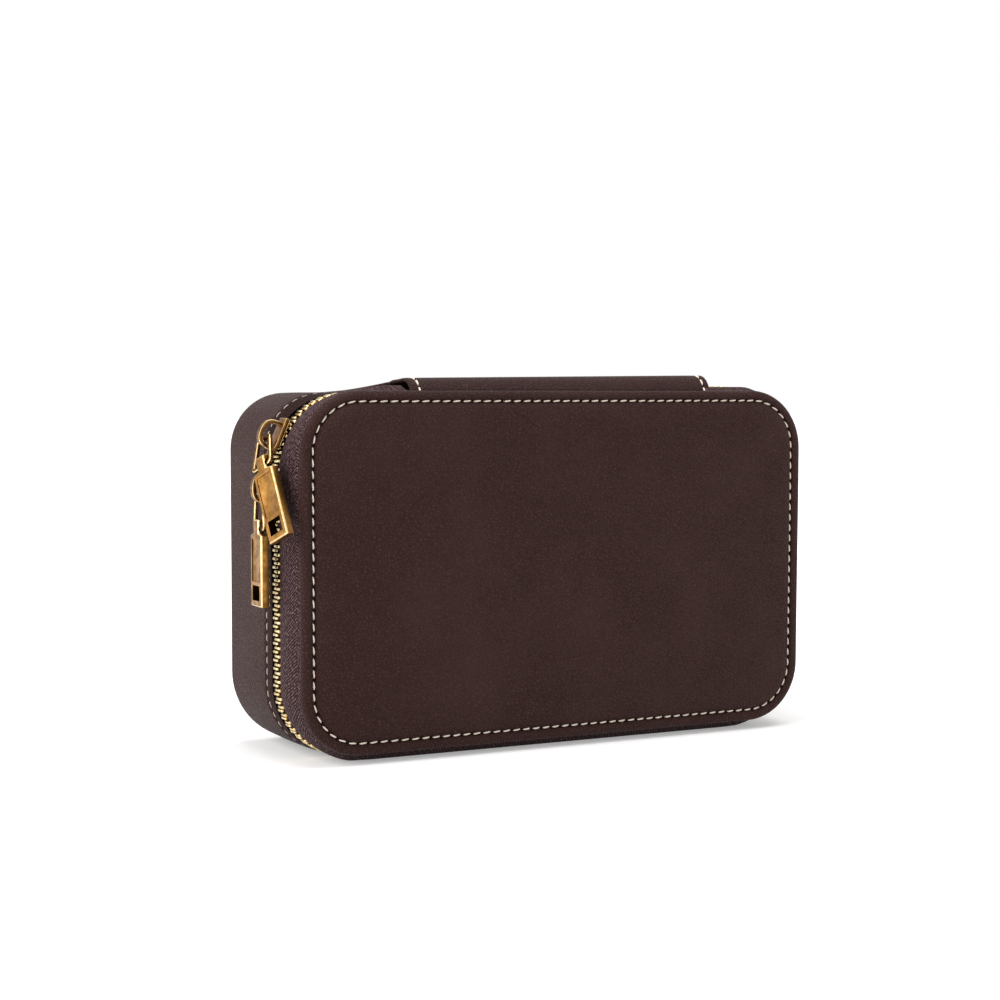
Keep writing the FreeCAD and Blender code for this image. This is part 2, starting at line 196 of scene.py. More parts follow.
def piece(mesh, materials, body, slot, *stands_for):
    """An object with its mesh's name that rides on a body and stands for CAD nodes."""
    obj = placed(mesh.name, mesh)
    finishes = [face.material_index for face in mesh.polygons]
    mesh.materials.clear()
    for material in materials:
        mesh.materials.append(material)
    mesh.polygons.foreach_set("material_index", finishes)
    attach(obj, body)
    if stands_for:
        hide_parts(*stands_for)
    return obj


def smooth(low, high, value):
    """A smooth step from 0 to 1 between two limits."""
    t = min(max((value - low) / (high - low), 0.0), 1.0)
    return t * t * (3 - 2 * t)


def rim_lift(point, share=1.0):
    """Lifts the top of the rim up to the strap's left end, and a little at its right end."""
    x, y, z = point
    left_rise, right_rise, climb_start, climb_length = 3.9, 1.2, -74, 24
    climb = min(max((x - climb_start) / climb_length, 0.0), 1.0) ** 1.35
    climb -= smooth(strap_left + 4, strap_left + 9, x)
    fall = smooth(strap_right + 26, strap_right, x) - smooth(strap_right - 0.5, strap_right - 4, x)
    rise = (left_rise * climb + right_rise * fall) * smooth(-6, rim_y, y) * smooth(90, 106, z)
    return (x, y, max(z + rise * share, 0.0))


def worked(tree, operation, *values):
    """The result of a Math node."""
    return add(tree, "ShaderNodeMath", dict(enumerate(values)), operation=operation).outputs[0]


def mapped(tree, value, low, high, first, last, **settings):
    """A value carried over from one range to another."""
    values = {0: value, 1: low, 2: high, 3: first, 4: last}
    return add(tree, "ShaderNodeMapRange", values, **settings).outputs[0]


# Grained leather: a soft waxed hide with pebbles about a millimetre across, and pores between them.
# The creases are a little darker and duller than the pebbles, and the colour drifts over a few centimetres.
def grained_leather(name, crease, pebble, worn, size, depth, gloss):
    material, tree, shader = new_finish(name, {"IOR": 1.5, "Specular IOR Level": 0.11})
    place = add(tree, "ShaderNodeTexCoord").outputs["Object"]
    drift = add(tree, "ShaderNodeTexNoise", {"Vector": place, "Scale": 1 / (2.5 * MM), "Detail": 2.0})
    nudge = add(tree, "ShaderNodeVectorMath", {0: drift.outputs[1], 3: 1.1 * MM}, operation="SCALE")
    bent = add(tree, "ShaderNodeVectorMath", {0: place, 1: nudge.outputs[0]}, operation="ADD")
    cells = add(tree, "ShaderNodeTexVoronoi", {"Vector": bent.outputs[0], "Scale": 1 / (size * MM)},
                feature="DISTANCE_TO_EDGE")
    dome = mapped(tree, cells.outputs["Distance"], 0.0, 0.32, 0.0, 1.0, interpolation_type="SMOOTHSTEP")
    height = worked(tree, "MULTIPLY_ADD", grain(tree, place, 0.3, 3.0), 0.7, dome)
    skin_tone = two_tone(tree, dome, colour(crease), colour(pebble))
    rubbed = mapped(tree, grain(tree, place, 26, 4.0, 0.6), 0.42, 0.72, 0.0, 0.35)
    sheen = mapped(tree, height, 0.2, 1.4, gloss + 0.16, gloss)
    tree.links.new(sheen, shader.inputs["Roughness"])
    dress(tree, shader, two_tone(tree, rubbed, skin_tone, colour(worn)), height, depth)
    return material


shell_leather = grained_leather("waxed_leather_shell", "#291613", "#3b2421", "#432e2a", 0.95, 0.16, 0.46)
# A darker copy of the leather: painted shade for the band's lip and the stitch grooves.
painted_shade_leather = grained_leather("waxed_leather_burnished_edge", "#1b0c09", "#2a1611", "#301c16",
                                    0.8, 0.05, 0.55)
lip = [(0.98, -17.6), (0.93, -18.0), (0.8, rim_y + 0.05), (0.64, -18.2),
       (0.54, -17.95), (0.48, -17.4), (0.38, -16.6), (0.28, -15.9)]
groove = [(depth, stitch_y + shift) for depth, shift in
          ((0.22, -1.0), (0.26, -0.7), (0.44, -0.35), (0.52, 0.0),
           (0.42, 0.35), (0.2, 0.65), (0.05, 1.0), (0.0, 1.5))]
wall = [(-0.12 * math.sin(math.pi * i / 8), wall_y + (turn_y - wall_y) * i / 8) for i in range(1, 8)]
turn = [(turn_radius * (1 - math.cos(math.radians(t))), turn_y + turn_radius * math.sin(math.radians(t)))
        for t in range(0, 91, 10)]
glued_side = [(3.4, 17.4), (3.0, 17.35), (1.3, 15.6), (0.98, 12.0), (0.98, -10.0), (1.05, -15.0)]
profile = lip + groove + wall + turn + glued_side

# The lip draws in at the top corners, and its inner side follows the climb only in part.
drawn_in = dict(enumerate((1.0, 1.0, 1.0, 1.0, 0.95, 0.8, 0.45, 0.15)))
folded = {0: 0.5, 1: 0.55, 2: 0.75, 3: 0.9, len(profile) - 1: 0.5}
rows = []
for i, (inset, y) in enumerate(profile):
    outline = base._replace(top_radius=base.top_radius + 3.5 * drawn_in.get(i, 0.0))
    rows.append([rim_lift(p, folded.get(i, 1.0)) for p in rounded_loop(outline, inset, y)])
# The lip's rows and the groove's first rows take the darker leather, a painted shade.
mesh = skin("base_leather_band", rows, True, range(len(lip) + 4))

# The painted shade stops at the top left corner, and the rim along the top keeps the band's plain leather.
painted_shade_end = Vector((-70, 0, 100)) * MM
for face in mesh.polygons:
    if face.center.x > painted_shade_end.x and face.center.z > painted_shade_end.z:
        face.material_index = 0
piece(mesh, [shell_leather, painted_shade_leather], "case", "shell_leather", "base_band")

# Base back panel: a flat leather panel glued inside the turned edge of the band.
# It is a little padded by its glue foam, so it swells slightly from a pressed border line.
to_middle = 56
rows = [rounded_loop(base, to_middle, 17.35), rounded_loop(base, 3.45, 17.35), rounded_loop(base, 3.45, 18.0)]
for inset, y in ((3.9, 18.16), (5.6, 18.2), (7.2, 18.02), (8.5, 17.98), (9.2, 18.06), (11, 18.2),
                 (16, 18.27), (30, 18.3), (to_middle, 18.3)):
    rows.append(rounded_loop(base, inset, y, least=9 * (1 - inset / to_middle)))
mesh = skin("base_back_leather", rows)
piece(mesh, [shell_leather], "case", "shell_leather", "base_back_panel")

# Rim stitches: a single row of waxed thread sunk in the groove behind the rim.
# Each stitch is a short arched run of thread whose ends dip into its needle holes.


def row_tree(name, held_axis):
    """Nodes that set one piece at even steps along a path, with one axis held to a direction."""
    tree = bpy.data.node_groups.new(name, "GeometryNodeTree")
    sockets = (("Path", "Geometry"), ("Piece", "Object"), ("Count", "Int"), ("Direction", "Vector"),
               ("Slant", "Float"), ("Finish", "Material"))
    for label, kind in sockets:
        tree.interface.new_socket(label, in_out="INPUT", socket_type="NodeSocket" + kind)
    tree.interface.new_socket("Row", in_out="OUTPUT", socket_type="NodeSocketGeometry")
    given = add(tree, "NodeGroupInput").outputs
    line = add(tree, "GeometryNodeMeshToCurve", {0: given["Path"]})
    spots = add(tree, "GeometryNodeCurveToPoints", {"Curve": line.outputs[0], "Count": given["Count"]},
                mode="COUNT")
    ahead = add(tree, "FunctionNodeAlignRotationToVector", {"Vector": spots.outputs["Tangent"]}, axis="X")
    held = add(tree, "FunctionNodeAlignRotationToVector",
               {"Rotation": ahead.outputs[0], "Vector": given["Direction"]}, axis=held_axis, pivot_axis="X")
    tilt = add(tree, "ShaderNodeCombineXYZ", {"Z": given["Slant"]})
    tilt_turn = add(tree, "FunctionNodeEulerToRotation", {0: tilt.outputs[0]})
    turned = add(tree, "FunctionNodeRotateRotation", {0: held.outputs[0], 1: tilt_turn.outputs[0]},
                 rotation_space="LOCAL")
    part = add(tree, "GeometryNodeObjectInfo", {"Object": given["Piece"]})
    copies = add(tree, "GeometryNodeInstanceOnPoints",
                 {"Points": spots.outputs[0], "Instance": part.outputs["Geometry"],
                  "Rotation": turned.outputs[0]})
    real = add(tree, "GeometryNodeRealizeInstances", {0: copies.outputs[0]})
    done = add(tree, "GeometryNodeSetMaterial", {0: real.outputs[0], "Material": given["Finish"]})
    add(tree, "NodeGroupOutput", {0: done.outputs[0]})
    return tree


def settled(obj, name):
    """The plain mesh of an object with its modifiers made final. The object itself goes."""
    mesh = bpy.data.meshes.new_from_object(obj.evaluated_get(bpy.context.evaluated_depsgraph_get()))
    mesh.name = name
    bpy.data.objects.remove(obj)
    return mesh


def row_mesh(name, tree, path, closed, template, count, direction, slant, finish):
    """The plain mesh of a row of pieces along a path of points."""
    line = bpy.data.meshes.new(name + "_path")
    steps = [(i, i + 1) for i in range(len(path) - 1)] + ([(len(path) - 1, 0)] if closed else [])
    line.from_pydata([Vector(p) * MM for p in path], steps, [])
    carrier = placed(name + "_path", line)
    pattern = placed(name + "_piece", template)
    modifier = carrier.modifiers.new("row", "NODES")
    modifier.node_group = tree
    values = {"Piece": pattern, "Count": count, "Direction": direction,
              "Slant": math.radians(slant), "Finish": finish}
    for item in tree.interface.items_tree:
        if item.name in values:
            modifier[item.identifier] = values[item.name]
    mesh = settled(carrier, name)
    bpy.data.objects.remove(pattern)
    mesh.shade_smooth()
    return mesh


def mesh_of(work, name):
    """The plain mesh of a finished bmesh."""
    mesh = bpy.data.meshes.new(name)
    work.to_mesh(mesh)
    work.free()
    return mesh


def stacked(work, loops):
    """Joins loops of points to a solid with flat ends."""
    loops = [[work.verts.new(Vector(p) * MM) for p in loop] for loop in loops]
    for a, b in zip(loops, loops[1:]):
        for k in range(len(a)):
            work.faces.new((a[k - 1], a[k], b[k], b[k - 1]))
    work.faces.new(loops[0][::-1])
    work.faces.new(loops[-1])


def stitch_mesh(length, thick, dip):
    """One stitch along X, arched so that both ends sink."""
    rings = []
    turns = [math.tau * k / 7 for k in range(7)]
    for i in range(7):
        t = i / 3 - 1
        r = thick / 2 * (1 - 0.75 * t ** 4)
        rings.append([(t * length / 2, r * math.cos(a), r * math.sin(a) - dip * t ** 4) for a in turns])
    work = bmesh.new()
    stacked(work, rings)
    return closed_up(mesh_of(work, "stitch"))


# Waxed thread: cream polyester with a soft shine, greyed in places by handling.
def waxed_thread(name, clean, soiled):
    material, tree, shader = new_finish(name, {"Roughness": 0.55})
    place = add(tree, "ShaderNodeTexCoord").outputs["Object"]
    tone = two_tone(tree, grain(tree, place, 3, 3.0), colour(clean), colour(soiled))
    dress(tree, shader, tone, grain(tree, place, 0.25, 1.0), 0.05)
    return material


across_row = row_tree("row_across", "Y")
facing_row = row_tree("row_facing", "Z")
rim_thread = waxed_thread("waxed_thread_rim", "#cfc0ae", "#a08f82")
rim_stitch_count = 160
path = [rim_lift(p) for p in rounded_loop(base, 0.38, stitch_y)]
row = row_mesh("rim_stitches", across_row, path, True, stitch_mesh(2.5, 0.42, 0.35), rim_stitch_count,
               (0, 1, 0), 0, rim_thread)
piece(row, [rim_thread], "case", "shell_leather")

# Base lining: short velvet glued inside the tray, turned over the tray's front edge.
# It is drawn round the floor's edge, so the floor meets the walls in a soft curve.
floor_y = 14.5


# Short velvet: a dense pile that catches light along its edges and shows faint brushed patches.
def short_velvet(name, deep, bright):
    material, tree, shader = new_finish(name, {
        "Roughness": 0.9, "Specular IOR Level": 0.15,
        "Sheen Weight": 0.35, "Sheen Roughness": 0.45, "Sheen Tint": colour(bright)})
    place = add(tree, "ShaderNodeTexCoord").outputs["Object"]
    pile = grain(tree, place, 0.5, 2.0)
    brushed = worked(tree, "MULTIPLY_ADD", pile, 0.5, grain(tree, place, 11, 3.0, 0.65))
    lay = mapped(tree, brushed, 0.5, 1.0, 0.0, 1.0)
    dress(tree, shader, two_tone(tree, lay, colour(deep), colour(bright)), pile, 0.12)
    return material


velvet = short_velvet("sand_velvet", "#a8957c", "#cdbca2")
hidden_side = [(to_middle, 15.2), (4.6, 15.2), (3.3, 14.0), (3.05, 12.0),
               (3.05, -13.9), (1.7, -13.9), (1.7, -14.3)]
over_edge = [(2.0, -14.7), (2.6, -14.9), (3.2, -14.75), (3.7, -14.2), (3.8, -13.2)]
inner_side = [(3.8, 0.0), (3.8, 11.5), (4.1, 13.0), (4.9, 14.0), (6.2, 14.45),
              (9.0, floor_y), (25.0, floor_y), (to_middle, floor_y)]
rows = [rounded_loop(base, inset, y) for inset, y in hidden_side + over_edge + inner_side]
piece(skin("base_velvet_lining", rows), [velvet], "case", "velvet", "base_lining")

# Dividers: thin boards wrapped in the same velvet, glued to the tray's floor.
# Two run from top to bottom beside the ring rolls, and one crosses each side space.
ring_zone, inside_side, divider, divider_edge = 50.0, 85.3, 2.4, 0.9
divider_front, divider_low, divider_high = -13.5, 4.0, 105.0


def block(work, middle, size):
    """Adds a box with a middle and a size in millimetres."""
    place = Matrix.Translation(Vector(middle) * MM) @ Matrix.Diagonal((*[s * MM for s in size], 1))
    bmesh.ops.create_cube(work, size=1.0, matrix=place)


def wrapped_board(name, low, high, edge):
    """A board with rounded edges between two corners, its cover a little uneven."""
    work = bmesh.new()
    size = [b - a for a, b in zip(low, high)]
    block(work, [(a + b) / 2 for a, b in zip(low, high)], size)
    for axis in range(3):
        cuts = int(size[axis] / 4)
        if cuts:
            edges = [e for e in work.edges
                     if abs((e.verts[0].co - e.verts[1].co)[axis]) > size[axis] * MM * 0.9]
            bmesh.ops.subdivide_edges(work, edges=edges, cuts=cuts, use_grid_fill=True)
    sharp = [e for e in work.edges if len(e.link_faces) == 2 and e.calc_face_angle() > 1]
    bmesh.ops.bevel(work, geom=sharp, offset=edge * MM, segments=3, profile=0.5, affect="EDGES")
    for v in work.verts:
        v.co += v.normal * 0.12 * MM * noise.noise(v.co / (7 * MM))
    return closed_up(mesh_of(work, name))


for side, sign in (("left", -1), ("right", 1)):
    near, far = sorted((sign * ring_zone, sign * (ring_zone + divider)))
    mesh = wrapped_board(side + "_velvet_divider", (near, divider_front, divider_low),
                         (far, floor_y - 0.1, divider_high), divider_edge)
    piece(mesh, [velvet], "case", "velvet", side + "_divider")
    near, far = sorted((sign * (ring_zone + divider), sign * inside_side))
    mesh = wrapped_board(side + "_velvet_cross_divider", (near, divider_front, base.middle_z - divider / 2),
                         (far, floor_y - 0.1, base.middle_z + divider / 2), divider_edge)
    piece(mesh, [velvet], "case", "velvet", side + "_cross_divider")

# Ring rolls: six foam rolls in sewn velvet covers, pressed together so that rings stand in the slits.
# Each cover is gathered at both ends, and its crown dimples a little between them.
roll_half, roll_depth, roll_end = 8.0, 9.9, 49.6
roll_pitch, rolls_start, roll_y = 16.9, 3.8, 4.5
roll_stations, roll_sides = 60, 32


def capped(mesh):
    """Fills the open ends of a mesh."""
    work = bmesh.new()
    work.from_mesh(mesh)
    bmesh.ops.holes_fill(work, edges=[e for e in work.edges if e.is_boundary])
    work.to_mesh(mesh)
    work.free()
    return mesh


for index in range(6):
    centre_z = rolls_start + roll_pitch * (index + 0.5)
    rows = []
    for i in range(roll_stations + 1):
        t = 2 * i / roll_stations - 1
        gather = 1 - 0.9 * smooth(0.955, 1.0, abs(t)) - 0.035 * smooth(0.8, 0.96, abs(t))
        x = roll_end * math.sin(t * math.pi / 2 * 0.98) / math.sin(math.pi / 2 * 0.98)
        row = []
        for k in range(roll_sides):
            a = math.tau * k / roll_sides
            depth, across = math.cos(a), math.sin(a)
            z = roll_half * math.copysign(abs(across) ** 0.72, across)
            y = -roll_depth * math.copysign(abs(depth) ** (0.85 if depth > 0 else 0.35), depth)
            fold = 0.22 * math.sin(11 * a + index) * smooth(0.86, 0.99, abs(t))
            soft = 0.35 * noise.noise(Vector((x / 9, a, index * 3.7))) * smooth(-0.4, 0.3, depth)
            swell = gather + (fold + soft) / 10
            row.append((x, min(roll_y + y * swell, floor_y - 0.05), centre_z + z * min(swell, 1.0)))
        rows.append(row)
    mesh = closed_up(capped(skin(f"ring_cushion_{index + 1}", rows)))
    roll_piece = piece(mesh, [velvet], "case", "velvet", f"ring_roll_{index + 1}")

# Zip tapes: two woven twill tapes with a corded edge, sewn behind the base's rim and under the lid's edge.
# The lid's tape bows out between its seam and its teeth, is pushed up by the strap and sags along the foot.
zip_y = -21.7
board = Outline(176.5, 107.0, 16.5, 21.5, 54.5)
tape_end = Outline(176.5, 107.0, 22.0, 22.0, 54.5)
tape_seat = Outline(173.4, 106.0, 17.9, 17.9, 56.3)
tape_seat_y, tape_bow_y, tape_bow_run = -37.2, -35.2, 11.6
tape_wall, tape_steps = 0.55, 14


def mixed_outline(first, second, share):
    """The outline a share of the way between two."""
    return Outline(*(a + (b - a) * share for a, b in zip(first, second)))


# Polyester twill: dark diagonal ribs about 1 mm apart, uneven, that turn back 3 mm from the tape's edge.
# Single threads stand out of the weave as pale pinkish specks.
twill, tree, shader = new_finish("polyester_twill", {"Roughness": 0.8, "Specular IOR Level": 0.15})
place = add(tree, "ShaderNodeTexCoord").outputs["UV"]
along, across = add(tree, "ShaderNodeSeparateXYZ", {0: place}).outputs[:2]
turned_back = worked(tree, "ABSOLUTE", worked(tree, "SUBTRACT", across, 3.0 * MM))
slope = worked(tree, "MULTIPLY_ADD", turned_back, 0.8, along)
uneven = worked(tree, "MULTIPLY_ADD", grain(tree, place, 3.5, 1.0), 1.2 * MM, slope)
ribs = worked(tree, "SINE", worked(tree, "MULTIPLY", uneven, math.tau / (1.0 * MM)))
picks = worked(tree, "SINE", worked(tree, "MULTIPLY", across, math.tau / (0.6 * MM)))
woven = worked(tree, "MULTIPLY_ADD", picks, 0.6, ribs)
fuzzy = worked(tree, "MULTIPLY_ADD", grain(tree, place, 0.95, 2.0, 0.7), 8.0, woven)
raised = mapped(tree, fuzzy, 3.9, 6.9, 0.0, 1.0)
dress(tree, shader, two_tone(tree, raised, colour("#221213"), colour("#85676a")), raised, 0.14)

# The corded edges under the teeth are coloured almost black, a painted shade under and between the teeth.
painted_shade_cord, tree, shader = new_finish("polyester_cord_edge", {"Roughness": 0.85, "Specular IOR Level": 0.1})
windings = grain(tree, add(tree, "ShaderNodeTexCoord").outputs["UV"], 0.5, 2.0)
dress(tree, shader, two_tone(tree, windings, colour("#0c0606"), colour("#201213")), windings, 0.1)


def zip_lift(x, z):
    """How far the zip is pushed up: a little round the top left corner, more by the strap's right end."""
    left = 0.45 * smooth(-85, -79, x) * smooth(strap_left + 2, strap_left - 4, x)
    right = 2.5 * smooth(strap_right + 30, strap_right + 12, x) * smooth(strap_right - 8, strap_right - 3, x)
    return (left + right) * smooth(92, 100, z)


tape_front = [(0.1, -13.8), (0.05, -17.6), (0.08, -18.9), (-0.05, -19.6), (-0.12, -20.3), (0.0, -20.8)]
tape_behind = [(0.35, -20.95), (0.7, -20.8), (0.82, -20.3), (0.75, -19.6), (0.55, -18.9), (0.55, -13.8)]
rows = []
for inset, y in tape_front + tape_behind:
    row = rounded_loop(mixed_outline(tape_end, board, smooth(-18.9, -13.8, y)), inset, y)
    rows.append([(px, y, pz + zip_lift(px, pz) * smooth(-13.8, -19.0, y)) for px, y, pz in row])
# Rows under the teeth take the near-black cord, a painted shade.
mesh = skin("base_twill_tape", rows, True, range(1, 10))
piece(mesh, [twill, painted_shade_cord], "case", "zip_tape", "base_zip_tape")


def lid_tape_row(share, inset):
    """A loop of the lid's tape between its seam and its teeth."""
    bow = math.sin(math.pi * share)
    outline = mixed_outline(tape_seat, tape_end, share)
    row = []
    for x, y, z in rounded_loop(outline, inset - 0.75 * bow, tape_bow_y + tape_bow_run * share):
        left = smooth(-73, strap_left - 6, x) - smooth(strap_left - 3, strap_left - 0.5, x)
        right = smooth(strap_right + 28, strap_right + 14, x) - smooth(strap_right + 0.5, strap_right - 2, x)
        push = (1.7 * left + 1.4 * right) * smooth(0.0, 0.3, share) * smooth(1.0, 0.6, share)
        push = push * smooth(95, 105, z) + zip_lift(x, z) * smooth(0.55, 1.0, share)
        sag = 1.9 * bow * smooth(12, 4, z) * smooth(84, 62, abs(x))
        row.append((x, y, max(z + push - sag, 0.05)))
    return row


rows = [rounded_loop(tape_seat, 0.0, tape_seat_y)]
rows += [lid_tape_row(i / tape_steps, 0.0) for i in range(tape_steps + 1)]
for inset, y in ((-0.12, -23.1), (0.0, -22.6), (0.35, -22.45), (0.7, -22.6), (0.82, -23.1)):
    rows.append([(px, y, pz + zip_lift(px, pz)) for px, y, pz in rounded_loop(tape_end, inset, y)])
rows += [lid_tape_row(i / tape_steps, tape_wall) for i in range(tape_steps, -1, -2)]
rows.append(rounded_loop(tape_seat, tape_wall, tape_seat_y))
# Rows under the teeth take the near-black cord, a painted shade.
mesh = skin("lid_twill_tape", rows, True, range(15, 22))
piece(mesh, [twill, painted_shade_cord], "lid", "zip_tape", "lid_zip_tape")

# Zip teeth: stamped brass teeth clamped on the tapes' corded edges, 169 on each, with the two rows meshed.
# Each has two legs round the cord, a narrower neck and a rounded head.
chain_width, chain_height, chain_radius = 175.9, 106.4, 21.7
chain_top = base.middle_z + chain_height / 2
tooth_count, tooth_pitch, stop_length = 169, 2.5, 2.4


def chain_path(start, end):
    """Points along the zip between two lengths from the strap's left end, and the whole length."""
    x, low, r = chain_width / 2, chain_top - chain_height, chain_radius
    marks = [Vector((strap_left + stop_length, zip_y, chain_top))]
    for cx, cz, turn in ((r - x, chain_top - r, 90), (r - x, low + r, 180),
                         (x - r, low + r, 270), (x - r, chain_top - r, 0)):
        for i in range(31):
            a = math.radians(turn + 3 * i)
            marks.append(Vector((cx + r * math.cos(a), zip_y, cz + r * math.sin(a))))
    marks.append(Vector((strap_right - stop_length, zip_y, chain_top)))
    fine = []
    for a, b in zip(marks, marks[1:]):
        steps = max(round((b - a).length / 2), 1)
        fine += [a.lerp(b, i / steps) for i in range(steps)]
    fine = [p + Vector((0, 0, zip_lift(p.x, p.z))) for p in fine + marks[-1:]]
    path, run = [], 0.0
    for a, b in zip(fine, fine[1:]):
        step = (b - a).length
        for limit in (start, end):
            if run <= limit < run + step:
                path.append(a.lerp(b, (limit - run) / step))
        run += step
        if start < run < end:
            path.append(b)
    return path, run


def tooth_mesh(side):
    """One tooth: X along the chain, Y across it and Z out of the case."""
    half = [(-1.05, 0.0), (-0.95, 0.26), (-0.45, 0.42), (0.25, 0.38),
            (0.7, 0.3), (1.05, 0.38), (2.1, 0.44), (2.3, 0.32)]
    outline = [(x, y) for y, x in half] + [(-x, y) for y, x in reversed(half[1:])]
    levels = []
    for z, shrink in ((-0.95, 0.3), (-0.7, 0.0), (0.7, 0.0), (0.95, 0.3)):
        thin, short = 1 - 0.55 * shrink, 1 - 0.25 * shrink
        levels.append([(x * thin, side * y * short, z) for x, y in outline])
    work = bmesh.new()
    stacked(work, levels)
    return closed_up(mesh_of(work, "tooth"))


# Cast brass: yellow metal with a bright polish, warmed and dulled in small patches.
def brass(name, bright, dull, gloss, spread, patch):
    material, tree, shader = new_finish(name, {"Metallic": 1.0})
    stain = grain(tree, add(tree, "ShaderNodeTexCoord").outputs["Object"], patch, 4.0, 0.6)
    shade = mapped(tree, stain, 0.35, 0.68, 0.0, 1.0)
    tree.links.new(mapped(tree, shade, 0.0, 1.0, gloss, gloss + spread), shader.inputs["Roughness"])
    dress(tree, shader, two_tone(tree, shade, colour(bright), colour(dull)), stain, 0.02)
    return material


tooth_brass = brass("bright_brass_teeth", "#f3e2b6", "#cda760", 0.22, 0.12, 1.2)
whole_chain = chain_path(0, 0)[1]
first_tooth = (whole_chain - (tooth_count - 0.5) * tooth_pitch) / 2
for half, side, shift, body in (("base", 1, 0.0, "case"), ("lid", -1, 0.5, "lid")):
    start = first_tooth + shift * tooth_pitch
    path = chain_path(start, start + (tooth_count - 1) * tooth_pitch)[0]
    row = row_mesh(half + "_teeth_row", across_row, path, False, tooth_mesh(side), tooth_count,
                   (0, 1, 0), 0, tooth_brass)
    piece(row, [tooth_brass], body, "zip_brass", half + "_zip_teeth")

# Zip stops: folded brass clips at both ends of each tape, hidden under the strap's ends.
# They are pressed on the corded edge like teeth, and keep the sliders on the zip.
stop_size = (2.3, 2.5, 1.7)
for half, side, body in (("base", 1, "case"), ("lid", -1, "lid")):
    work = bmesh.new()
    for x in (strap_left + stop_length, strap_right - stop_length):
        block(work, (x, zip_y + side * 1.4, chain_top + zip_lift(x, chain_top)), stop_size)
    bmesh.ops.bevel(work, geom=work.edges[:], offset=0.4 * MM, segments=3, profile=0.5, affect="EDGES")
    mesh = closed_up(mesh_of(work, half + "_end_stops"))
    piece(mesh, [tooth_brass], body, "zip_brass", half + "_zip_stops")

# Lid cover: grained leather drawn over a foam pad, with a rounded welt round the edge.
# A sewn groove holds the pad, so the face rises steeply from the stitches and is nearly flat in its middle.
# The welt's right side leans in a little towards its foot.
lid = Outline(174.4, 107.4, 18.4, 18.4, 56.5)
lid_edge = Outline(174.4, 106.9, 18.6, 18.4, 56.25)
inside = [(to_middle, -36.7), (0.95, -36.7)]
edge = [(0.5, -36.7), (0.12, -36.8), (0.0, -37.1), (0.06, -37.5), (0.25, -38.0),
        (0.56, -38.4), (0.95, -38.7), (1.4, -38.88), (1.9, -38.95)]
sewn = [(2.4, -38.93), (2.95, -38.72), (3.3, -38.38), (3.5, -38.0),
        (3.72, -37.75), (3.95, -37.95), (4.15, -38.4), (4.45, -38.95)]
pillow = [(4.9, -39.35), (5.6, -39.68), (6.8, -39.93), (8.6, -40.1), (11.5, -40.24), (16.0, -40.38),
          (23.0, -40.53), (32.0, -40.63), (42.0, -40.68), (to_middle, -40.7)]


def leaning(point):
    """A point of the lid's cover, moved in towards the foot of its right side."""
    x, y, z = point
    return (x - 0.55 * smooth(95, 5, z) * smooth(0, 87, x), y, z)


rows = []
for inset, y in inside + edge + sewn + pillow:
    outline = mixed_outline(lid_edge, lid, smooth(1.0, 3.6, inset))
    row = rounded_loop(outline, inset, y, least=8.5 * (1 - inset / to_middle))
    if inset > 5:
        sway = 0.14 * smooth(5, 14, inset)
        row = [(px, py + sway * noise.noise(Vector((px / 24, 3.1, pz / 24))), pz) for px, py, pz in row]
    rows.append([leaning(p) for p in row])
# The sewn groove's rows take the darker leather, a painted shade in the groove.
groove_start = len(inside + edge) + 2
mesh = skin("lid_leather_cover", rows, second=range(groove_start, groove_start + 4))
cover = piece(mesh, [shell_leather, painted_shade_leather], "lid", "shell_leather",
              "lid_cover", "lid_padding")

# Lid stitches: heavy cream thread sewn round the pad, through the leather and the board.
# The stitches are about 3.4 mm apart and slightly slanted.
lid_thread = waxed_thread("waxed_thread_cream", "#fff5e6", "#f6e4cf")
lid_stitch_pitch, lid_stitch_slant = 3.4, 7
path = [leaning(p) for p in rounded_loop(lid, 3.68, -38.12)]
around = sum(math.dist(a, b) for a, b in zip(path, path[1:] + path[:1]))
row = row_mesh("lid_stitches", facing_row, path, True, stitch_mesh(2.75, 0.58, 0.45),
               round(around / lid_stitch_pitch), (0, -1, 0), lid_stitch_slant, lid_thread)
piece(row, [lid_thread], "lid", "shell_leather")

# Lid lining: the same velvet, glued over the lid's panel and its low sloping wall.
# It is turned over the wall's edge, just behind the zip's teeth.
wall_start = Outline(172.0, 105.0, 17.2, 17.2, 56.5)
wall_end = Outline(174.38, 105.46, 20.34, 20.34, 54.97)
wall_end_y, lid_back_y, lid_floor_y = -26.9, -34.8, -34.0


def lid_wall(inset, y):
    """A loop along the lid's sloping wall."""
    share = (y - lid_back_y) / (wall_end_y - lid_back_y)
    return rounded_loop(mixed_outline(wall_start, wall_end, share), inset, y)


hidden_side = [(to_middle, -34.7), (1.9, -34.7), (1.72, -34.3), (1.7, -26.85),
               (0.2, -26.85), (0.05, -27.6), (-0.05, -27.7)]
over_edge = [(-0.02, -27.1), (0.15, -26.75), (0.6, -26.55), (1.3, -26.55),
             (2.0, -26.75), (2.4, -27.3), (2.5, -28.0)]
inner_side = [(2.5, -30.0), (2.5, -32.2), (2.75, -33.2), (3.5, -33.85),
              (5.0, lid_floor_y), (10.0, lid_floor_y), (to_middle, lid_floor_y)]
rows = [lid_wall(inset, y) for inset, y in hidden_side + over_edge + inner_side]
piece(skin("lid_velvet_lining", rows), [velvet], "lid", "velvet", "lid_lining")

